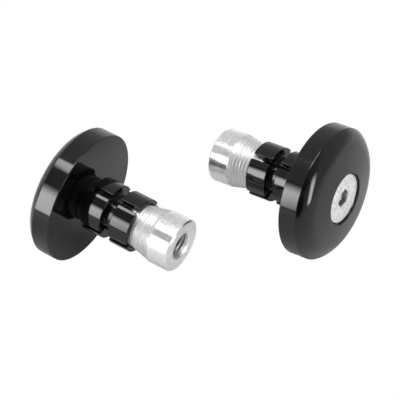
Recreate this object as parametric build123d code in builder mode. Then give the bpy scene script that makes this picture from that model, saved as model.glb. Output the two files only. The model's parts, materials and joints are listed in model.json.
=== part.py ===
from build123d import *
import os
from math import cos, radians, sin

# A pair of expanding bar-end plugs, in millimetres. Each plug has a turned cap, a countersunk socket
# screw, a slotted plastic expander and a wedge nut. Every piece is drawn on its plug's own plane: the
# plane's origin is the centre of the cap's flat back face, and its z_dir runs along the screw from the
# cap towards the nut, so the cap lies at negative z. The origin of the pair is the middle of the left
# expander, and +X is the left plug's axis.

# Cap
CAP_RADIUS = 16.0
RIM_LENGTH = 4.45          # straight rim, from the back face to the crease
SHOULDER_RADIUS = 6.4      # arc that starts at the crease
CREASE_TILT = 32.0         # degrees between the axis and the shoulder, just past the crease
SHOULDER_END_TILT = 80.0   # degrees where the shoulder arc hands over to the dome
CAP_HOLE_RADIUS = 3.2
COUNTERBORE_RADIUS = 6.35
COUNTERBORE_RIM_DEPTH = 8.14   # the dome's height round the screw head, in front of the back face
BACK_EDGE_CHAMFER = 0.25
SEAT_RADIUS = 5.4          # shallow seat in the back face, for the expander's neck
SEAT_DEPTH = 0.6

# Screw, M6 x 30 countersunk
SCREW_RADIUS = 3.0
SCREW_LENGTH = 30.0
SCREW_END_CHAMFER = 0.6
HEAD_RADIUS = 5.93
HEAD_LAND = 0.3            # short straight edge round the head
HEAD_FACE_DEPTH = 7.65     # the head's face, in front of the cap's back face
HEX_ACROSS_FLATS = 4.0
HEX_DEPTH = 2.5
HEX_ROLL = 33.0            # degrees from the plug's upright direction
HEAD_CLEARANCE = 0.07      # radial, between the head's cone and the countersink

# Expander
COLLAR_RADIUS = 6.6
NECK_RADIUS = 5.3
CORE_RADIUS = 4.6          # bottom of the groove between the collars
COLLAR_LENGTH = 5.15
COLLAR_EDGE_FILLET = 0.2
NECK_LENGTH = 2.4          # from the cap's back face to the first collar
GROOVE_LENGTH = 2.4
HINGE_GAP = 0.15           # between the neck and the jaws' roots
NECK_BORE_RADIUS = 3.2
ROOT_BORE_RADIUS = 3.4     # inside the jaws, beside the neck
ROOT_BORE_END = 9.6
NUT_BORE_START = 10.6      # from here on the wedge nut can pass inside the jaws
JAWS = 4
SLOT_WIDTH = 1.4
WEDGE_CLEARANCE = 0.1      # radial, between the jaws and the nut at rest

# Wedge nut, at rest
NUT_START = 12.8
NUT_TAPER_END = 20.65
NUT_END = 25.9
NUT_SMALL_RADIUS = 4.75
NUT_LARGE_RADIUS = 6.44
NUT_SMALL_CHAMFER = 0.2
NUT_LARGE_CHAMFER = 0.35
NUT_BORE_RADIUS = 3.05
NUT_COUNTERSINK_RADIUS = 3.55

# Where the two plugs are
EXPANDER_LENGTH = 2 * COLLAR_LENGTH + GROOVE_LENGTH
EXPANDER_MIDDLE = NECK_LENGTH + EXPANDER_LENGTH / 2
RIGHT_PLUG_PLACE = (34.0, 30.5, 1.7)   # centre of the right cap's back face
RIGHT_PLUG_DROOP = 8.7                 # degrees that the right plug's nut hangs below level
LEFT_SLOT_ROLL = 10.8                  # degrees that the slots are rolled about the plug's axis
RIGHT_SLOT_ROLL = -20.5

droop = radians(RIGHT_PLUG_DROOP)
PLUGS = {
    "left": (
        Plane(origin=(-EXPANDER_MIDDLE, 0, 0), x_dir=(0, 0, 1), z_dir=(1, 0, 0)),
        LEFT_SLOT_ROLL,
    ),
    "right": (
        Plane(
            origin=RIGHT_PLUG_PLACE,
            x_dir=(-sin(droop), 0, cos(droop)),
            z_dir=(-cos(droop), 0, -sin(droop)),
        ),
        RIGHT_SLOT_ROLL,
    ),
}


def profile_plane(plug):
    """The half plane for turned profiles: its x is the radius and its y runs along the plug's axis."""
    return Plane(origin=plug.origin, x_dir=plug.x_dir, z_dir=-plug.y_dir)


def axis_of(plug):
    return Axis(plug.origin, plug.z_dir)


def rolled(plug, angle):
    """The plug's plane, turned about the plug's own axis."""
    x_dir = plug.x_dir.rotate(axis_of(plug), angle)
    return Plane(origin=plug.origin, x_dir=x_dir, z_dir=plug.z_dir)


def wedge_radius(height):
    """The wedge nut's outside radius at a height on its taper."""
    taper = (NUT_LARGE_RADIUS - NUT_SMALL_RADIUS) / (NUT_TAPER_END - NUT_START)
    return NUT_SMALL_RADIUS + taper * (height - NUT_START)


def make_cap(plug, name):
    """Domed cap: back face with a seat, straight rim, crease, shoulder, shallow dome, countersunk hole."""
    start_tilt = radians(CREASE_TILT)
    end_tilt = radians(SHOULDER_END_TILT)
    crease = (CAP_RADIUS, -RIM_LENGTH)
    shoulder_centre = (
        crease[0] - SHOULDER_RADIUS * cos(start_tilt),
        crease[1] + SHOULDER_RADIUS * sin(start_tilt),
    )
    counterbore_rim = (COUNTERBORE_RADIUS, -COUNTERBORE_RIM_DEPTH)
    counterbore_step = COUNTERBORE_RADIUS - HEAD_RADIUS - HEAD_CLEARANCE
    cone_rim = (COUNTERBORE_RADIUS, -HEAD_FACE_DEPTH + HEAD_LAND - counterbore_step)
    hole_start = cone_rim[1] + COUNTERBORE_RADIUS - CAP_HOLE_RADIUS
    with BuildPart() as cap:
        with BuildSketch(profile_plane(plug)):
            with BuildLine():
                Polyline(
                    (CAP_HOLE_RADIUS, hole_start),
                    (CAP_HOLE_RADIUS, -SEAT_DEPTH),
                    (SEAT_RADIUS, -SEAT_DEPTH),
                    (SEAT_RADIUS, 0),
                    (CAP_RADIUS - BACK_EDGE_CHAMFER, 0),
                    (CAP_RADIUS, -BACK_EDGE_CHAMFER),
                    crease,
                )
                shoulder = CenterArc(
                    shoulder_centre,
                    SHOULDER_RADIUS,
                    start_angle=-CREASE_TILT,
                    arc_size=CREASE_TILT - SHOULDER_END_TILT,
                )
                dome_start = shoulder @ 1
                TangentArc(dome_start, counterbore_rim, tangent=shoulder % 1)
                Polyline(counterbore_rim, cone_rim, (CAP_HOLE_RADIUS, hole_start))
            make_face()
        revolve(axis=axis_of(plug))
    cap.part.label = name
    export_step(cap.part, f"parts/{name}.step")


def make_screw(plug, name):
    """Countersunk socket screw. Its thread is drawn as a plain shank of the full diameter."""
    cone_start = -HEAD_FACE_DEPTH + HEAD_LAND
    cone_end = cone_start + HEAD_RADIUS - SCREW_RADIUS
    screw_end = SCREW_LENGTH - HEAD_FACE_DEPTH
    with BuildPart() as screw:
        with BuildSketch(profile_plane(plug)):
            with BuildLine():
                Polyline(
                    (0, -HEAD_FACE_DEPTH),
                    (HEAD_RADIUS, -HEAD_FACE_DEPTH),
                    (HEAD_RADIUS, cone_start),
                    (SCREW_RADIUS, cone_end),
                    (SCREW_RADIUS, screw_end - SCREW_END_CHAMFER),
                    (SCREW_RADIUS - SCREW_END_CHAMFER, screw_end),
                    (0, screw_end),
                    close=True,
                )
            make_face()
        revolve(axis=axis_of(plug))
        with BuildSketch(plug.offset(-HEAD_FACE_DEPTH)):
            RegularPolygon(HEX_ACROSS_FLATS / 2, 6, major_radius=False, rotation=HEX_ROLL)
        extrude(amount=HEX_DEPTH, mode=Mode.SUBTRACT)
    screw.part.label = name
    export_step(screw.part, f"parts/{name}.step")


def make_neck(plug, name):
    """Closed ring of the expander, seated in the cap's back face."""
    with BuildPart() as neck:
        with BuildSketch(plug.offset(-SEAT_DEPTH)):
            Circle(NECK_RADIUS)
            Circle(NECK_BORE_RADIUS, mode=Mode.SUBTRACT)
        extrude(amount=SEAT_DEPTH + NECK_LENGTH - HINGE_GAP)
    neck.part.label = name
    export_step(neck.part, f"parts/{name}.step")


def make_jaw(plug, name):
    """One quarter of the expander: two collar segments joined by the core, with half a slot each side."""
    groove_start = NECK_LENGTH + COLLAR_LENGTH
    groove_end = groove_start + GROOVE_LENGTH
    jaw_end = groove_end + COLLAR_LENGTH
    mouth_start = NUT_START
    mouth_radius = wedge_radius(mouth_start) + WEDGE_CLEARANCE
    mouth_end_radius = wedge_radius(jaw_end) + WEDGE_CLEARANCE
    with BuildPart() as jaw:
        with BuildSketch(profile_plane(plug)) as section:
            with BuildLine():
                Polyline(
                    (ROOT_BORE_RADIUS, NECK_LENGTH),
                    (COLLAR_RADIUS, NECK_LENGTH),
                    (COLLAR_RADIUS, groove_start),
                    (CORE_RADIUS, groove_start),
                    (CORE_RADIUS, groove_end),
                    (COLLAR_RADIUS, groove_end),
                    (COLLAR_RADIUS, jaw_end),
                    (mouth_end_radius, jaw_end),
                    (mouth_radius, mouth_start),
                    (mouth_radius, NUT_BORE_START),
                    (ROOT_BORE_RADIUS, ROOT_BORE_END),
                    close=True,
                )
            make_face()
            collar_corners = section.vertices().group_by(Axis.X)[-1]
            fillet(collar_corners, radius=COLLAR_EDGE_FILLET)
        revolve(axis=axis_of(plug), revolution_arc=360 / JAWS)
        with BuildSketch(plug):
            with PolarLocations(0, JAWS):
                Rectangle(2 * CAP_RADIUS, SLOT_WIDTH)
        extrude(amount=NUT_END, mode=Mode.SUBTRACT)
    jaw.part.label = name
    export_step(jaw.part, f"parts/{name}.step")


def make_wedge_nut(plug, name):
    """Tapered nut with a plain bore for the screw, countersunk at its large end."""
    countersink = NUT_COUNTERSINK_RADIUS - NUT_BORE_RADIUS
    with BuildPart() as nut:
        with BuildSketch(profile_plane(plug)):
            with BuildLine():
                Polyline(
                    (NUT_BORE_RADIUS, NUT_START),
                    (NUT_SMALL_RADIUS - NUT_SMALL_CHAMFER, NUT_START),
                    (wedge_radius(NUT_START + NUT_SMALL_CHAMFER), NUT_START + NUT_SMALL_CHAMFER),
                    (NUT_LARGE_RADIUS, NUT_TAPER_END),
                    (NUT_LARGE_RADIUS, NUT_END - NUT_LARGE_CHAMFER),
                    (NUT_LARGE_RADIUS - NUT_LARGE_CHAMFER, NUT_END),
                    (NUT_COUNTERSINK_RADIUS, NUT_END),
                    (NUT_BORE_RADIUS, NUT_END - countersink),
                    close=True,
                )
            make_face()
        revolve(axis=axis_of(plug))
    nut.part.label = name
    export_step(nut.part, f"parts/{name}.step")


os.makedirs("parts", exist_ok=True)
for side, (plug, slot_roll) in PLUGS.items():
    make_cap(plug, f"{side}_cap")
    make_screw(plug, f"{side}_bolt")
    make_neck(plug, f"{side}_expander_neck")
    for number in range(JAWS):
        jaw_plane = rolled(plug, slot_roll + number * 360 / JAWS)
        make_jaw(jaw_plane, f"{side}_expander_jaw_{number + 1}")
    make_wedge_nut(plug, f"{side}_wedge_nut")
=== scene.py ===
import json
import math

import bpy
from mathutils import Matrix, Quaternion, Vector


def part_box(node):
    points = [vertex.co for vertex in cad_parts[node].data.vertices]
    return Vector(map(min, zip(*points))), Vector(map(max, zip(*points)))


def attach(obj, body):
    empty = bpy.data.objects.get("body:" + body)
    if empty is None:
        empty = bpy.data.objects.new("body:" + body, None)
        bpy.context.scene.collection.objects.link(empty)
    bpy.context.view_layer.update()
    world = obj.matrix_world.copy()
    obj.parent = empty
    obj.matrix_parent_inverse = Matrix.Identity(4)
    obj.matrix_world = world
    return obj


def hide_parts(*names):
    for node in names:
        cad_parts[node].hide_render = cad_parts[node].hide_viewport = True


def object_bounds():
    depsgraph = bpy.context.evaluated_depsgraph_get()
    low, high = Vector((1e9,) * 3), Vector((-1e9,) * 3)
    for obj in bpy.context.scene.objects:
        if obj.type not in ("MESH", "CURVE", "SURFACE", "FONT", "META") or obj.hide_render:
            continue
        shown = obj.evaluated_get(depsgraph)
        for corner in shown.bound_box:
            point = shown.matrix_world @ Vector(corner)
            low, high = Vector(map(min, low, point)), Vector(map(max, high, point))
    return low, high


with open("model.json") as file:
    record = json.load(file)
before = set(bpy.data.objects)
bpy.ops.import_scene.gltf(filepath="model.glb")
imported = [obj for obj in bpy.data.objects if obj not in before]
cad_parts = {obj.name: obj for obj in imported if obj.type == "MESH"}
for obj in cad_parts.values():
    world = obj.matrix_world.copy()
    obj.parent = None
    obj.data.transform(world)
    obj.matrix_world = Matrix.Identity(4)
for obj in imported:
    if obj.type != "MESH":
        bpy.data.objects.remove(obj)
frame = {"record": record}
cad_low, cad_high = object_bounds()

# Two expanding bar-end plugs. Every piece is drawn in millimetres on its plug's own frame: the origin is
# the centre of the cap's flat back face, z runs along the screw towards the nut, and x points upwards.

MM = 0.001
PLUG_PLACE = "plug_place"  # vertex attribute: the point in its plug's frame, in metres, for the materials
SIDES = ("left", "right")
JAWS = 4

# Cap
RIM_LENGTH = 4.45
SHOULDER_RADIUS = 6.4
CREASE_TILT = 32.0         # degrees between the axis and the shoulder, just past the crease
SHOULDER_END_TILT = 80.0   # degrees where the shoulder's arc hands over to the dome's
CAP_HOLE_RADIUS = 3.2
COUNTERBORE_RADIUS = 6.35
SEAT_RADIUS = 5.4          # shallow seat in the back face, for the expander's neck
SEAT_DEPTH = 0.6
BACK_EDGE_ROUND = 0.2
CREASE_ROUND = 0.35
COUNTERBORE_ROUND = 0.08

# Screw
SCREW_RADIUS = 3.0
SCREW_END_CHAMFER = 0.6
THREAD_PITCH = 1.0
THREAD_DEPTH = 0.58
THREAD_FLAT = 0.14         # width of the thread's crest and of its root, in pitches
THREAD_RUN_IN = 1.2        # length over which the thread gets its full depth
HEAD_RADIUS = 5.93
HEAD_LAND = 0.3            # short straight edge round the head
HEAD_EDGE_ROUND = 0.13
HEAD_CLEARANCE = 0.07      # radial, between the head's cone and the countersink
HEX_ACROSS_FLATS = 4.0
HEX_DEPTH = 2.5
HEX_ROLL = 33.0            # degrees from the plug's upright direction
HEX_CORNER = 1.135         # how far out the worn corners lie, in half widths across flats
HEX_EDGE_ROUND = 0.14
DRILL_POINT = 0.9          # height of the drilled cone at the bottom of the socket

# Expander
NECK_RADIUS = 5.3
CORE_RADIUS = 4.6          # bottom of the groove between the collars
COLLAR_LENGTH = 5.15
GROOVE_LENGTH = 2.4
NECK_LENGTH = 2.4          # from the cap's back face to the first collar
HINGE_GAP = 0.15           # between the neck and the jaws' roots
NECK_BORE_RADIUS = 3.2
ROOT_BORE_RADIUS = 3.4     # inside the jaws, beside the neck
ROOT_BORE_END = 9.6
NUT_BORE_START = 10.6      # from here on the wedge nut can pass inside the jaws
SLOT_WIDTH = 1.4
WEDGE_CLEARANCE = 0.1      # radial, between the jaws and the nut at rest
MOUTH_CHAMFER = 0.6
COLLAR_EDGE_ROUND = 0.2
GROOVE_ROUND = 0.15
SLOT_EDGE_ROUND = 0.12
JAW_CORNER_ROUND = 0.18    # wider than the slots' rounding and its support loop, so that no face folds over

# Wedge nut, at rest
NUT_START = 12.8
NUT_TAPER_END = 20.65
NUT_END = 25.9
NUT_SMALL_RADIUS = 4.75
NUT_COUNTERSINK_RADIUS = 3.55
NUT_CHAMFER = 0.35
NUT_START_ROUND = 0.2
NUT_CREASE_ROUND = 0.25    # where the taper meets the barrel
NUT_CHAMFER_ROUND = 0.12
NUT_COUNTERSINK_ROUND = 0.06
NUT_THREAD_ROOT = 3.05
NUT_THREAD_DEPTH = 0.5
NUT_THREAD_MOUTH_ROUND = 0.04
NUT_THREAD_ENDS = (0.9, 0.4)   # lengths over which the thread fades out, inside and at the countersink
TURNING_START = 13.6       # a whole number of turning pitches, so that the material can find the grooves
TURNING_PITCH = 0.8
TURNING_DEPTH = 0.18
TURNING_LOOPS = (0, 0.02, 0.48, 0.5, 0.52, 0.98)  # crest and root, in pitches, and loops that keep them crisp

# Mesh fineness
SEGMENTS = 192
CAP_SEGMENTS = 256
NECK_SEGMENTS = 128
SHOULDER_STEPS = 28
DOME_STEPS = 24
JAW_STEPS = 44
THREAD_LOOPS = 14          # for each pitch
SUPPORT = 0.05             # an extra loop this far from each rounded edge keeps flat faces flat
HEAD_SUPPORT = 0.03        # the same on the screw's head
DRILL_POINT_LOOPS = (0.35, 0.7, 0.93)      # shares of the way from the axis to the socket's wall
HEAD_FACE_LOOPS = (0.06, 0.3, 0.6, 0.85)   # shares of the way from the socket to the head's edge
HIDDEN_ROUND = 0.1         # edges that are hardly seen
FINE_ROUND = 0.05


# ---------------------------------------------------------------- frame

def joint_named(name):
    return next(joint for joint in frame["record"]["behaviour"]["joints"] if joint["name"] == name)


def mount_named(name):
    return next(mount for mount in frame["record"]["mounts"] if mount["name"] == name)


def plug_matrix(side):
    """The plug's frame in the row: columns are upright, across and along the screw."""
    joint = joint_named(f"{side}_screw_turn")
    along = Vector(joint["axis"]).normalized()
    upright = (Vector((0, 0, 1)) - along * along.z).normalized()
    across = along.cross(upright)
    matrix = Matrix((upright, across, along)).transposed().to_4x4()
    matrix.translation = Vector(joint["pos_m"])
    return matrix


def jaw_angle(side, number):
    """Direction of a jaw's middle about the plug's axis, from where its hinge stands."""
    hinge = Vector(joint_named(f"{side}_jaw_{number}_spread")["pos_m"])
    local = plug_matrix(side).inverted() @ hinge
    return math.atan2(local.y, local.x)


def height(node):
    low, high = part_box(node)
    return (high.z - low.z) / MM


back_face = plug_matrix("left").translation.x
CAP_RADIUS = height("left_cap") / 2
NUT_LARGE_RADIUS = height("left_wedge_nut") / 2
COLLAR_RADIUS = mount_named("left_bar_fit")["dims"]["r_mm"]
CAP_DEPTH = (back_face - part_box("left_cap")[0].x) / MM
HEAD_FACE_DEPTH = (back_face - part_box("left_bolt")[0].x) / MM
SCREW_END = (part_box("left_bolt")[1].x - back_face) / MM


# ---------------------------------------------------------------- outlines

def polar(centre, radius, degrees):
    angle = math.radians(degrees)
    return (centre[0] + radius * math.cos(angle), centre[1] + radius * math.sin(angle))


def arc(centre, radius, start, end, steps):
    return [polar(centre, radius, start + (end - start) * i / steps) for i in range(steps + 1)]


def slerp(a, b, share):
    """Point between two arms of equal length, along the circle."""
    angle = a.angle(b)
    if angle < 1e-6:
        return a
    return (a * math.sin((1 - share) * angle) + b * math.sin(share * angle)) / math.sin(angle)


def smooth_step(low, high, value):
    share = min(1.0, max(0.0, (value - low) / (high - low)))
    return share * share * (3 - 2 * share)


def rounded(corners):
    """Closed outline from corners (x, y, rounding). A rounded corner is an arc with points beside it."""
    longest_step = math.radians(12)
    most_of_side = 0.45
    outline = []
    for i, (x, y, rounding) in enumerate(corners):
        if rounding == 0:
            outline.append((x, y))
            continue
        here = Vector((x, y))
        back = Vector(corners[i - 1][:2]) - here
        ahead = Vector(corners[(i + 1) % len(corners)][:2]) - here
        back_length, ahead_length = back.length, ahead.length
        back.normalize()
        ahead.normalize()
        half_angle = back.angle(ahead) / 2
        reach = min(rounding / math.tan(half_angle), most_of_side * back_length, most_of_side * ahead_length)
        radius = reach * math.tan(half_angle)
        centre = here + (back + ahead).normalized() * (radius / math.sin(half_angle))
        first = here + back * reach
        last = here + ahead * reach
        steps = max(3, math.ceil((math.pi - 2 * half_angle) / longest_step))
        if back_length - reach > 4 * SUPPORT:
            outline.append(tuple(first + back * SUPPORT))
        for step in range(steps + 1):
            outline.append(tuple(centre + slerp(first - centre, last - centre, step / steps)))
        if ahead_length - reach > 4 * SUPPORT:
            outline.append(tuple(last + ahead * SUPPORT))
    return outline


def quarter_round(radius, steps):
    """How far in and how far along each point of a rounded edge lies, from its first face to its second."""
    turns = [math.pi / 2 * step / steps for step in range(steps + 1)]
    return [(radius * (1 - math.sin(turn)), radius * (1 - math.cos(turn))) for turn in turns]


# ---------------------------------------------------------------- meshes

def ring(radius, z, segments=SEGMENTS, start=0.0):
    """A circle about the axis; radius is a number or a function of the angle. A zero radius is one point."""
    if radius == 0:
        return [(0.0, 0.0, z)]
    points = []
    for i in range(segments):
        angle = start + 2 * math.pi * i / segments
        reach = radius(angle) if callable(radius) else radius
        points.append((reach * math.cos(angle), reach * math.sin(angle), z))
    return points


def skin(rings, loop):
    """Faces between neighbouring rings, and from the last back to the first where loop is true."""
    vertices, starts = [], []
    for points in rings:
        starts.append(len(vertices))
        vertices.extend(points)
    faces = []
    pairs = list(zip(range(len(rings)), range(1, len(rings))))
    if loop:
        pairs.append((len(rings) - 1, 0))
    for a, b in pairs:
        size_a, size_b = len(rings[a]), len(rings[b])
        size = max(size_a, size_b)
        for i in range(size):
            j = (i + 1) % size
            if size_a == 1:
                faces.append((starts[a], starts[b] + j, starts[b] + i))
            elif size_b == 1:
                faces.append((starts[a] + i, starts[a] + j, starts[b]))
            else:
                faces.append((starts[a] + i, starts[a] + j, starts[b] + j, starts[b] + i))
    return vertices, faces


def make_piece(name, vertices, faces, matrix, body, node, slot, material):
    """A smooth mesh in place of a CAD node, riding on its body."""
    mesh = bpy.data.meshes.new(name)
    own_places = [Vector(v) * MM for v in vertices]
    mesh.from_pydata([matrix @ place for place in own_places], [], faces)
    mesh.polygons.foreach_set("use_smooth", [True] * len(mesh.polygons))
    mesh.materials.append(material)
    attribute = mesh.attributes.new(PLUG_PLACE, "FLOAT_VECTOR", "POINT")
    attribute.data.foreach_set("vector", [value for place in own_places for value in place])
    piece = bpy.data.objects.new(name, mesh)
    bpy.context.scene.collection.objects.link(piece)
    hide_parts(node)
    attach(piece, body)


def lathe(outline, segments):
    return skin([ring(r, z, segments) for r, z in outline], loop=True)


def cap_mesh():
    """Straight rim, crease, shoulder and dome, with the countersink, the screw's hole and the neck's seat."""
    start, end = math.radians(CREASE_TILT), math.radians(SHOULDER_END_TILT)
    shoulder_centre = (
        CAP_RADIUS - SHOULDER_RADIUS * math.cos(start),
        SHOULDER_RADIUS * math.sin(start) - RIM_LENGTH,
    )
    shoulder = arc(shoulder_centre, SHOULDER_RADIUS, -CREASE_TILT, -SHOULDER_END_TILT, SHOULDER_STEPS)
    rim = Vector((COUNTERBORE_RADIUS, -CAP_DEPTH))
    counterbore_step = COUNTERBORE_RADIUS - HEAD_RADIUS - HEAD_CLEARANCE
    cone_rim = -HEAD_FACE_DEPTH + HEAD_LAND - counterbore_step
    hole_start = cone_rim + COUNTERBORE_RADIUS - CAP_HOLE_RADIUS
    # the dome's arc is tangent to the shoulder's end and passes through the counterbore's rim
    joint = Vector(shoulder[-1])
    inward = (Vector(shoulder_centre) - joint).normalized()
    chord = rim - joint
    dome_radius = chord.length_squared / (2 * chord.dot(inward))
    dome_centre = joint + inward * dome_radius
    dome = []
    for step in range(1, DOME_STEPS):
        dome.append(tuple(dome_centre + slerp(joint - dome_centre, rim - dome_centre, step / DOME_STEPS)))
    outline = rounded([
        (CAP_HOLE_RADIUS, hole_start, HIDDEN_ROUND),
        (CAP_HOLE_RADIUS, -SEAT_DEPTH, HIDDEN_ROUND),
        (SEAT_RADIUS, -SEAT_DEPTH, HIDDEN_ROUND),
        (SEAT_RADIUS, 0, HIDDEN_ROUND),
        (CAP_RADIUS, 0, BACK_EDGE_ROUND),
        (CAP_RADIUS, -RIM_LENGTH, CREASE_ROUND),
        *[(x, y, 0) for x, y in shoulder[1:] + dome],
        (rim.x, rim.y, COUNTERBORE_ROUND),
        (COUNTERBORE_RADIUS, cone_rim, FINE_ROUND),
    ])
    return lathe(outline[::-1], CAP_SEGMENTS)


def thread_shape(share):
    """Height of a metric thread over one pitch, from 0 at the root to 1 at the crest."""
    distance = abs((share % 1.0) - 0.5) * 2
    return min(1.0, max(0.0, (distance - THREAD_FLAT) / (1 - 2 * THREAD_FLAT)))


def screw_mesh():
    """Countersunk socket screw, from the bottom of its socket round the head to the end of the thread."""
    start = math.radians(HEX_ROLL)
    apothem = HEX_ACROSS_FLATS / 2
    face = -HEAD_FACE_DEPTH
    cone_start = face + HEAD_LAND
    cone_end = cone_start + HEAD_RADIUS - SCREW_RADIUS
    socket_bottom = face + HEX_DEPTH
    wall_foot = socket_bottom - DRILL_POINT

    def hexagon(scale=1.0, circle=0.0, share=0.0):
        """Reach of the socket's outline, a share of the way out to a circle."""
        def radius(angle):
            side_angle = (angle - start) % math.radians(60) - math.radians(30)
            flat = min(apothem / math.cos(side_angle), apothem * HEX_CORNER) * scale
            return flat + (circle - flat) * share
        return radius

    def threaded(z):
        run_in = smooth_step(cone_end, cone_end + THREAD_RUN_IN, z)
        chamfered = SCREW_RADIUS - max(0.0, z - SCREW_END + SCREW_END_CHAMFER)

        def radius(angle):
            share = z / THREAD_PITCH - angle / (2 * math.pi)
            return min(SCREW_RADIUS - THREAD_DEPTH * (1 - thread_shape(share)) * run_in, chamfered)
        return radius

    loops = [(0, socket_bottom)]
    for share in DRILL_POINT_LOOPS:
        loops.append((apothem * share, socket_bottom - DRILL_POINT * share))
    loops += [(hexagon(0.985), wall_foot - 0.02), (hexagon(), wall_foot - 0.1), (hexagon(), cone_start)]
    for down, out in quarter_round(HEX_EDGE_ROUND, 4):
        loops.append((hexagon(1 + out / apothem), face + down))
    flat_start = 1 + HEX_EDGE_ROUND / apothem
    flat_end = HEAD_RADIUS - HEAD_EDGE_ROUND - HEAD_SUPPORT
    for share in HEAD_FACE_LOOPS:
        loops.append((hexagon(flat_start, flat_end, share), face))
    for inward, down in quarter_round(HEAD_EDGE_ROUND, 5):
        loops.append((HEAD_RADIUS - inward, face + down))
    loops += [(HEAD_RADIUS, cone_start - HEAD_SUPPORT), (HEAD_RADIUS - 0.04, cone_start + HEAD_SUPPORT)]
    loops.append((SCREW_RADIUS + 0.1, cone_end - 0.1))
    count = int((SCREW_END - cone_end) / THREAD_PITCH * THREAD_LOOPS)
    for i in range(count + 1):
        z = cone_end + (SCREW_END - cone_end) * i / count
        loops.append((threaded(z), z))
    loops += [(SCREW_RADIUS - 2 * SCREW_END_CHAMFER, SCREW_END), (0, SCREW_END)]
    return skin([ring(radius, z, start=start) for radius, z in loops], loop=False)


def wedge_radius(z):
    slope = (NUT_LARGE_RADIUS - NUT_SMALL_RADIUS) / (NUT_TAPER_END - NUT_START)
    return NUT_SMALL_RADIUS + slope * (z - NUT_START)


def nut_mesh():
    """Turned nut: grooved taper, smooth barrel, and an internal thread in phase with the screw's."""
    turned = []
    for groove in range(int((NUT_TAPER_END - TURNING_START) / TURNING_PITCH)):
        for share in TURNING_LOOPS:
            z = TURNING_START + TURNING_PITCH * (groove + share)
            turned.append((wedge_radius(z) - TURNING_DEPTH * (1 - abs(1 - 2 * share)), z, 0))
    countersink_end = NUT_END - NUT_COUNTERSINK_RADIUS + NUT_THREAD_ROOT
    outline = rounded([
        (NUT_THREAD_ROOT, NUT_START, HIDDEN_ROUND),
        (NUT_SMALL_RADIUS, NUT_START, NUT_START_ROUND),
        *turned,
        (NUT_LARGE_RADIUS, NUT_TAPER_END, NUT_CREASE_ROUND),
        (NUT_LARGE_RADIUS, NUT_END - NUT_CHAMFER, NUT_CHAMFER_ROUND),
        (NUT_LARGE_RADIUS - NUT_CHAMFER, NUT_END, HIDDEN_ROUND),
        (NUT_COUNTERSINK_RADIUS, NUT_END, NUT_COUNTERSINK_ROUND),
        (NUT_THREAD_ROOT, countersink_end, NUT_THREAD_MOUTH_ROUND),
    ])
    rings = [ring(r, z) for r, z in outline]
    bore_start, bore_end = NUT_START + 2 * HIDDEN_ROUND, countersink_end - SUPPORT
    inner_fade, mouth_fade = NUT_THREAD_ENDS
    count = int((bore_end - bore_start) / THREAD_PITCH * THREAD_LOOPS)
    for i in range(count + 1):
        z = bore_end + (bore_start - bore_end) * i / count
        fade = smooth_step(0, mouth_fade, bore_end - z) * smooth_step(0, inner_fade, z - bore_start)

        def radius(angle):
            share = z / THREAD_PITCH - angle / (2 * math.pi) + 0.5
            return NUT_THREAD_ROOT - NUT_THREAD_DEPTH * thread_shape(share) * fade
        rings.append(ring(radius, z))
    return skin(rings, loop=True)


def neck_mesh():
    return lathe(rounded([
        (NECK_BORE_RADIUS, -SEAT_DEPTH, HIDDEN_ROUND),
        (NECK_RADIUS, -SEAT_DEPTH, HIDDEN_ROUND),
        (NECK_RADIUS, NECK_LENGTH - HINGE_GAP, FINE_ROUND),
        (NECK_BORE_RADIUS, NECK_LENGTH - HINGE_GAP, FINE_ROUND),
    ]), NECK_SEGMENTS)


def jaw_outline():
    groove_start = NECK_LENGTH + COLLAR_LENGTH
    groove_end = groove_start + GROOVE_LENGTH
    jaw_end = groove_end + COLLAR_LENGTH
    mouth = jaw_end - MOUTH_CHAMFER
    mouth_radius = wedge_radius(mouth) + WEDGE_CLEARANCE
    nut_bore_radius = NUT_SMALL_RADIUS + WEDGE_CLEARANCE
    return rounded([
        (ROOT_BORE_RADIUS, NECK_LENGTH, JAW_CORNER_ROUND),
        (COLLAR_RADIUS, NECK_LENGTH, COLLAR_EDGE_ROUND),
        (COLLAR_RADIUS, groove_start, COLLAR_EDGE_ROUND),
        (CORE_RADIUS, groove_start, GROOVE_ROUND),
        (CORE_RADIUS, groove_end, GROOVE_ROUND),
        (COLLAR_RADIUS, groove_end, COLLAR_EDGE_ROUND),
        (COLLAR_RADIUS, jaw_end, COLLAR_EDGE_ROUND),
        (mouth_radius + MOUTH_CHAMFER, jaw_end, JAW_CORNER_ROUND),
        (mouth_radius, mouth, JAW_CORNER_ROUND),
        (nut_bore_radius, NUT_START, 0),
        (nut_bore_radius, NUT_BORE_START, 0),
        (ROOT_BORE_RADIUS, ROOT_BORE_END, 0),
    ])


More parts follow.
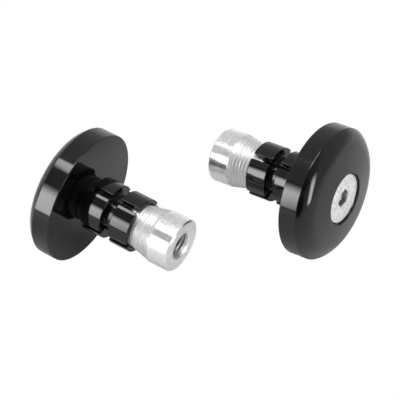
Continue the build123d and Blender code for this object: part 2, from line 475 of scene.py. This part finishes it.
def jaw_mesh(middle):
    """A quarter ring between two slots, with its slot edges rounded."""
    outline = jaw_outline()
    count = len(outline)
    inward = []
    for i in range(count):
        tangent = (Vector(outline[(i + 1) % count]) - Vector(outline[i - 1])).normalized()
        inward.append(Vector((-tangent.y, tangent.x)))
    half_slot = SLOT_WIDTH / 2
    start_angle = middle - math.pi / 4

    def row(inset, wall, share):
        """The outline, shrunk by inset, at a share of the way from one slot's wall to the other's."""
        points = []
        for (r, z), normal in zip(outline, inward):
            radius = r + normal.x * inset
            gap = math.asin(wall / radius)
            angle = start_angle + gap + (math.pi / 2 - 2 * gap) * share
            points.append((radius * math.cos(angle), radius * math.sin(angle), z + normal.y * inset))
        return points

    ends = [(SLOT_EDGE_ROUND + SUPPORT, half_slot)]
    for wall, inset in reversed(quarter_round(SLOT_EDGE_ROUND, 5)):
        ends.append((inset, half_slot + wall))
    rows = [row(inset, wall, 0) for inset, wall in ends]
    rows += [row(0, half_slot + SLOT_EDGE_ROUND, step / JAW_STEPS) for step in range(1, JAW_STEPS)]
    rows += [row(inset, wall, 1) for inset, wall in reversed(ends)]
    vertices = [point for points in rows for point in points]
    faces = []
    for a in range(len(rows) - 1):
        for i in range(count):
            j = (i + 1) % count
            faces.append((a * count + i, (a + 1) * count + i, (a + 1) * count + j, a * count + j))
    last = (len(rows) - 1) * count
    faces.append(tuple(range(count)))
    faces.append(tuple(last + i for i in reversed(range(count))))
    return vertices, faces


# ---------------------------------------------------------------- materials

WHITE = (1, 1, 1)


def grey(value):
    return (value, value, value)


class Shader:
    """A material with a Principled surface and short calls for the nodes that vary it."""

    def __init__(self, name, **sockets):
        self.material = bpy.data.materials.new(name)
        self.material.use_nodes = True
        self.nodes = self.material.node_tree.nodes
        self.surface = self.nodes["Principled BSDF"]
        place = self.nodes.new("ShaderNodeAttribute")
        place.attribute_name = PLUG_PLACE
        self.coordinates = place.outputs["Vector"]
        for socket, value in sockets.items():
            self.surface.inputs[socket.replace("_", " ")].default_value = value

    def link(self, output, socket):
        self.material.node_tree.links.new(output, socket)

    def vary(self, socket, output):
        self.link(output, self.surface.inputs[socket])

    def noise(self, scale, detail=3.0, stretch=(1, 1, 1)):
        mapping = self.nodes.new("ShaderNodeMapping")
        mapping.inputs["Scale"].default_value = stretch
        self.link(self.coordinates, mapping.inputs["Vector"])
        node = self.nodes.new("ShaderNodeTexNoise")
        node.inputs["Scale"].default_value = scale
        node.inputs["Detail"].default_value = detail
        self.link(mapping.outputs["Vector"], node.inputs["Vector"])
        return node.outputs["Fac"]

    def along(self):
        """How far along the screw the point lies, in metres."""
        node = self.nodes.new("ShaderNodeSeparateXYZ")
        self.link(self.coordinates, node.inputs[0])
        return node.outputs["Z"]

    def radius(self):
        """How far from the screw's axis the point lies, in metres."""
        flat = self.nodes.new("ShaderNodeVectorMath")
        flat.operation = "MULTIPLY"
        flat.inputs[1].default_value = (1, 1, 0)
        self.link(self.coordinates, flat.inputs[0])
        node = self.nodes.new("ShaderNodeVectorMath")
        node.operation = "LENGTH"
        self.link(flat.outputs["Vector"], node.inputs[0])
        return node.outputs["Value"]

    def zigzag(self, output, period):
        """Rises from 0 to half a period and falls back again, once for each period."""
        node = self.nodes.new("ShaderNodeMath")
        node.operation = "PINGPONG"
        node.inputs[1].default_value = period / 2
        self.link(output, node.inputs[0])
        return node.outputs["Value"]

    def spread(self, output, low, high, start=0.3, end=0.7):
        """From low to high as the output goes from start to end. Most noise lies between 0.3 and 0.7."""
        node = self.nodes.new("ShaderNodeMapRange")
        node.inputs["From Min"].default_value = start
        node.inputs["From Max"].default_value = end
        node.inputs["To Min"].default_value = low
        node.inputs["To Max"].default_value = high
        self.link(output, node.inputs["Value"])
        return node.outputs["Result"]

    def past(self, output, start, end):
        """From 0 to 1 as a place in the plug goes from start to end, in millimetres."""
        return self.spread(output, 0, 1, start * MM, end * MM)

    def tint(self, output, low, high, start=0.3, end=0.7):
        node = self.nodes.new("ShaderNodeValToRGB")
        node.color_ramp.elements[0].position = start
        node.color_ramp.elements[1].position = end
        node.color_ramp.elements[0].color = (*low, 1)
        node.color_ramp.elements[1].color = (*high, 1)
        self.link(output, node.inputs["Fac"])
        return node.outputs["Color"]

    def darken(self, colour, darkest, share):
        """The colour as it is where share is 1, and multiplied by the darkest grey where share is 0."""
        node = self.nodes.new("ShaderNodeMix")
        node.data_type = "RGBA"
        node.blend_type = "MULTIPLY"
        node.inputs["Factor"].default_value = 1
        self.link(colour, node.inputs["A"])
        self.link(self.tint(share, grey(darkest), WHITE, 0, 1), node.inputs["B"])
        return node.outputs["Result"]

    def mix(self, low, high, share):
        """One value turning into another as share goes from 0 to 1."""
        node = self.nodes.new("ShaderNodeMix")
        self.link(share, node.inputs["Factor"])
        self.link(low, node.inputs["A"])
        self.link(high, node.inputs["B"])
        return node.outputs["Result"]

    def bump(self, output, height, strength):
        node = self.nodes.new("ShaderNodeBump")
        node.inputs["Distance"].default_value = height
        node.inputs["Strength"].default_value = strength
        self.link(output, node.inputs["Height"])
        self.vary("Normal", node.outputs["Normal"])


def cap_material():
    """Black anodising: nearly smooth, with faint clouds and a very fine grain."""
    shader = Shader("anodised_black", Metallic=0.0, IOR=1.5)
    cloud = shader.noise(180, 4)
    grain = shader.noise(9000, 2)
    shader.vary("Base Color", shader.tint(cloud, (0.002, 0.002, 0.0021), (0.0035, 0.0035, 0.0036)))
    shader.vary("Roughness", shader.spread(cloud, 0.07, 0.11))
    shader.bump(grain, height=0.000001, strength=0.3)
    return shader.material


def plastic_material():
    """Moulded black: glossy on the collars, satin in the groove and inside."""
    shader = Shader("moulded_black", Metallic=0.0, IOR=1.5)
    flow = shader.noise(350, 3, (1, 1, 0.35))
    collar = shader.past(shader.radius(), CORE_RADIUS + 0.3, COLLAR_RADIUS - 0.5)
    satin = shader.spread(flow, 0.14, 0.24)
    glossy = shader.spread(flow, 0.04, 0.08)
    shader.vary("Base Color", shader.tint(flow, (0.0015, 0.0015, 0.0016), (0.0035, 0.0035, 0.0036)))
    shader.vary("Roughness", shader.mix(satin, glossy, collar))
    shader.bump(flow, height=0.000004, strength=0.3)
    return shader.material


def screw_material():
    """Matte bare steel with a fine blasted grain; behind the head's face, in the socket and along the thread,
    smoother and darkened by painted shade.
    """
    shader = Shader("blasted_steel", Metallic=1.0)
    grain = shader.noise(3200, 3)
    cloud = shader.noise(700, 3)
    colour = shader.tint(grain, (0.66, 0.66, 0.65), (1.0, 1.0, 0.99), 0.36, 0.6)
    face_end = 0.15 - HEAD_FACE_DEPTH
    socket_start = 0.7 - HEAD_FACE_DEPTH
    on_face = shader.spread(shader.along(), 1, 0, face_end * MM, socket_start * MM)
    face_roughness = shader.spread(cloud, 0.42, 0.52)
    socket_roughness = shader.spread(cloud, 0.3, 0.38)
    # painted shade: off the head's face, the socket and the thread are multiplied by 0.42
    shader.vary("Base Color", shader.darken(colour, 0.42, on_face))
    shader.vary("Roughness", shader.mix(socket_roughness, face_roughness, on_face))
    shader.bump(grain, height=0.00003, strength=0.6)
    return shader.material


def nut_material():
    """Turned aluminium: a ringed, duller taper and a bright barrel, both with marks round the axis; painted
    shade darkens the internal thread and the bottoms of the taper's grooves.
    """
    shader = Shader("turned_aluminium", Metallic=0.9, Anisotropic=0.5, Anisotropic_Rotation=0.25)
    mottle = shader.noise(2600, 3)
    marks = shader.noise(9000, 2, (0.004, 0.004, 6.0))
    radius = shader.radius()
    along = shader.along()
    out_of_hole = shader.past(radius, NUT_COUNTERSINK_RADIUS - 0.1, NUT_COUNTERSINK_RADIUS + 0.05)
    out_of_thread = shader.past(radius, NUT_THREAD_ROOT, NUT_THREAD_ROOT + 0.25)
    barrel = shader.past(along, NUT_TAPER_END - 0.1, NUT_TAPER_END + 0.1)
    # mask for painted shade: 1 on the turning grooves' crests, 0 at their bottoms, 1 on the barrel
    crests = shader.spread(shader.zigzag(along, TURNING_PITCH * MM), 1, 0, 0, TURNING_PITCH / 2 * MM)
    crests_and_barrel = shader.mix(crests, barrel, barrel)
    colour = shader.tint(mottle, grey(0.8), WHITE, 0.36, 0.55)
    # painted shade: the internal thread, inside the hole, is multiplied by 0.6
    colour = shader.darken(colour, 0.6, out_of_thread)
    colour = shader.darken(colour, 0.87, barrel)
    # painted shade: the bottoms of the taper's turning grooves are multiplied by 0.82
    colour = shader.darken(colour, 0.82, crests_and_barrel)
    taper_roughness = shader.spread(marks, 0.45, 0.62, 0.36, 0.6)
    barrel_roughness = shader.spread(marks, 0.14, 0.3, 0.36, 0.64)
    hole_roughness = shader.spread(marks, 0.35, 0.5)
    outer_roughness = shader.mix(taper_roughness, barrel_roughness, barrel)
    shader.vary("Base Color", colour)
    shader.vary("Roughness", shader.mix(hole_roughness, outer_roughness, out_of_hole))
    shader.bump(mottle, height=0.000005, strength=0.8)
    around = shader.nodes.new("ShaderNodeTangent")
    around.direction_type = "RADIAL"
    around.axis = "X"
    shader.vary("Tangent", around.outputs["Tangent"])
    return shader.material


# ---------------------------------------------------------------- pieces

cap_black = cap_material()
expander_plastic = plastic_material()
screw_steel = screw_material()
nut_aluminium = nut_material()

for side in SIDES:
    matrix = plug_matrix(side)
    make_piece(f"{side}_domed_cap", *cap_mesh(), matrix,
               "caps", f"{side}_cap", "cap_black", cap_black)
    make_piece(f"{side}_countersunk_screw", *screw_mesh(), matrix,
               f"{side}_screw", f"{side}_bolt", "screw_steel", screw_steel)
    make_piece(f"{side}_neck_ring", *neck_mesh(), matrix,
               "caps", f"{side}_expander_neck", "expander_plastic", expander_plastic)
    make_piece(f"{side}_turned_nut", *nut_mesh(), matrix,
               f"{side}_nut", f"{side}_wedge_nut", "nut_aluminium", nut_aluminium)
    for number in range(1, JAWS + 1):
        make_piece(f"{side}_collar_jaw_{number}", *jaw_mesh(jaw_angle(side, number)), matrix,
                   f"{side}_jaw_{number}", f"{side}_expander_jaw_{number}", "expander_plastic",
                   expander_plastic)


# ---------------------------------------------------------------- stage

middle = (cad_low + cad_high) / 2

FLOOR_GAP = 1 * MM
FLOOR_WIDTH = 0.4
BACKDROP_WIDTH = 6.0
BACKDROP_GAP = 0.2 * MM    # below the floor

# The room as the object sees it: even, with patches about some directions. Brightness 1 is white.
ROOM_BRIGHTNESS = 0.56
PATCHES = (  # azimuth, elevation, full within this angle, gone beyond this one (all in degrees), brightness
    (0, -90, 87, 91, 0.8),
    (-60, 60, 22, 60, 0.22),
    (-50, 10, 10, 22, 0.04),
    (-39, 40, 6, 16, 0.04),
)

FILL_AZIMUTH, FILL_ELEVATION = 66, 30
FILL_DISTANCE = 0.34
FILL_WIDTH = 0.2
FILL_POWER = 0.8


def direction(azimuth, elevation):
    """Unit vector from the object; azimuth is counted from +X towards +Y."""
    a, e = math.radians(azimuth), math.radians(elevation)
    return Vector((math.cos(a) * math.cos(e), math.sin(a) * math.cos(e), math.sin(e)))


def facing(towards):
    """The turn that points a lamp, a sheet or a camera back along a direction."""
    return towards.to_track_quat("Z", "Y")


def smooth_range(nodes, start, end):
    node = nodes.new("ShaderNodeMapRange")
    node.interpolation_type = "SMOOTHSTEP"
    node.inputs["From Min"].default_value = start
    node.inputs["From Max"].default_value = end
    return node


def glow_material(name, radiance, edges=None):
    """A surface that only shines. Edges are the shares of its width and height over which it fades out."""
    shader = Shader(name, Base_Color=(0, 0, 0, 1), Specular_IOR_Level=0.0)
    shader.surface.inputs["Emission Color"].default_value = (1, 1, 1, 1)
    shader.surface.inputs["Emission Strength"].default_value = radiance
    if edges is None:
        return shader.material
    place = shader.nodes.new("ShaderNodeSeparateXYZ")
    shader.link(shader.nodes.new("ShaderNodeTexCoord").outputs["Generated"], place.inputs[0])
    glow = None
    for position, (low_fade, high_fade) in zip((place.outputs["X"], place.outputs["Y"]), edges):
        for start, end in ((0, low_fade), (1, 1 - high_fade)):
            node = smooth_range(shader.nodes, start, end)
            node.inputs["To Max"].default_value = radiance
            shader.link(position, node.inputs["Value"])
            if glow:
                shader.link(glow, node.inputs["To Max"])
            glow = node.outputs["Result"]
    shader.vary("Emission Strength", glow)
    return shader.material


def floor_material():
    shader = Shader("white_paper", Base_Color=(0.58, 0.58, 0.58, 1), Roughness=0.9)
    shader.vary("Roughness", shader.spread(shader.noise(40, 3), 0.85, 0.95))
    return shader.material


def sheet(name, width, tall, place, material):
    mesh = bpy.data.meshes.new(name)
    x, y = width / 2, tall / 2
    mesh.from_pydata([(-x, -y, 0), (x, -y, 0), (x, y, 0), (-x, y, 0)], [], [(0, 1, 2, 3)])
    mesh.materials.append(material)
    piece = bpy.data.objects.new(name, mesh)
    bpy.context.scene.collection.objects.link(piece)
    piece.location = place
    return piece


def softbox(name, azimuth, elevation, distance, width, tall, radiance, edges, roll=0):
    """A glowing sheet that faces the object. The camera doesn't see it."""
    towards = direction(azimuth, elevation)
    box = sheet(name, width, tall, middle + towards * distance, glow_material(name, radiance, edges))
    box.rotation_mode = "QUATERNION"
    box.rotation_quaternion = facing(towards) @ Quaternion((0, 0, 1), math.radians(roll))
    box.visible_camera = False


def make_floor():
    """A paper that lights the object from below, and a white backdrop that only the camera sees."""
    place = Vector((middle.x, middle.y, cad_low.z - FLOOR_GAP))
    floor = sheet("floor", FLOOR_WIDTH, FLOOR_WIDTH, place, floor_material())
    floor.visible_camera = False
    backdrop = sheet("white_floor", BACKDROP_WIDTH, BACKDROP_WIDTH, place - Vector((0, 0, BACKDROP_GAP)),
                     glow_material("white_paper_lit", 1.0))
    for ray in ("visible_diffuse", "visible_glossy", "visible_transmission", "visible_shadow"):
        setattr(backdrop, ray, False)


def make_fill_light():
    """A soft light behind the object, which lifts the nuts and the screw heads and isn't mirrored."""
    light = bpy.data.lights.new("back_fill", "AREA")
    light.shape = "DISK"
    light.size = FILL_WIDTH
    light.energy = FILL_POWER
    fill = bpy.data.objects.new("back_fill", light)
    bpy.context.scene.collection.objects.link(fill)
    towards = direction(FILL_AZIMUTH, FILL_ELEVATION)
    fill.location = middle + towards * FILL_DISTANCE
    fill.rotation_mode = "QUATERNION"
    fill.rotation_quaternion = facing(towards)
    fill.visible_glossy = False


def make_room():
    """The world: what the glossy surfaces mirror outside the softboxes. It doesn't light matte surfaces."""
    world = bpy.data.worlds.new("studio")
    bpy.context.scene.world = world
    world.use_nodes = True
    nodes, links = world.node_tree.nodes, world.node_tree.links
    towards = nodes.new("ShaderNodeTexCoord").outputs["Generated"]
    brightness = None
    for azimuth, elevation, full, gone, patch in PATCHES:
        closeness = nodes.new("ShaderNodeVectorMath")
        closeness.operation = "DOT_PRODUCT"
        closeness.inputs[1].default_value = direction(azimuth, elevation)
        links.new(towards, closeness.inputs[0])
        room = smooth_range(nodes, math.cos(math.radians(gone)), math.cos(math.radians(full)))
        room.inputs["To Min"].default_value = ROOM_BRIGHTNESS
        room.inputs["To Max"].default_value = patch
        if brightness:
            links.new(brightness, room.inputs["To Min"])
        links.new(closeness.outputs["Value"], room.inputs["Value"])
        brightness = room.outputs["Result"]
    links.new(brightness, nodes["Background"].inputs["Strength"])
    nodes["Background"].inputs["Color"].default_value = (1, 1, 1, 1)
    world.cycles_visibility.diffuse = False


make_floor()
softbox("left_softbox", azimuth=-118.5, elevation=19, distance=0.27, width=0.125, tall=0.207,
        radiance=9.8, edges=((0.3, 0.55), (0.09, 0.4)))
softbox("right_softbox", azimuth=-7, elevation=19, distance=0.324, width=0.09, tall=0.24,
        radiance=9.6, edges=((0.3, 0.3), (0.12, 0.45)), roll=-16)
softbox("top_softbox", azimuth=-165, elevation=72.5, distance=0.528, width=0.15, tall=0.25,
        radiance=8.0, edges=((0.1, 0.1), (0.1, 0.15)))
softbox("zenith_softbox", azimuth=70, elevation=82, distance=0.50, width=0.22, tall=0.26,
        radiance=12.0, edges=((0.15, 0.15), (0.15, 0.15)))
make_fill_light()
make_room()

# ---------------------------------------------------------------- camera

VIEW_TARGET = Vector((13.99, 12.33, 2.16)) * MM    # the point in the middle of the picture
VIEW_BACK = Vector((0.36296, -0.54460, 0.75609))   # from the target towards the camera
VIEW_DISTANCE = 0.45067
LENS = 176.2
SENSOR_WIDTH = 36

camera_data = bpy.data.cameras.new("camera")
camera_data.lens = LENS
camera_data.sensor_width = SENSOR_WIDTH
camera = bpy.data.objects.new("camera", camera_data)
bpy.context.scene.collection.objects.link(camera)
camera.location = VIEW_TARGET + VIEW_BACK.normalized() * VIEW_DISTANCE
camera.rotation_mode = "QUATERNION"
camera.rotation_quaternion = facing(VIEW_BACK)
bpy.context.scene.camera = camera
bpy.context.scene.view_settings.view_transform = "Standard"
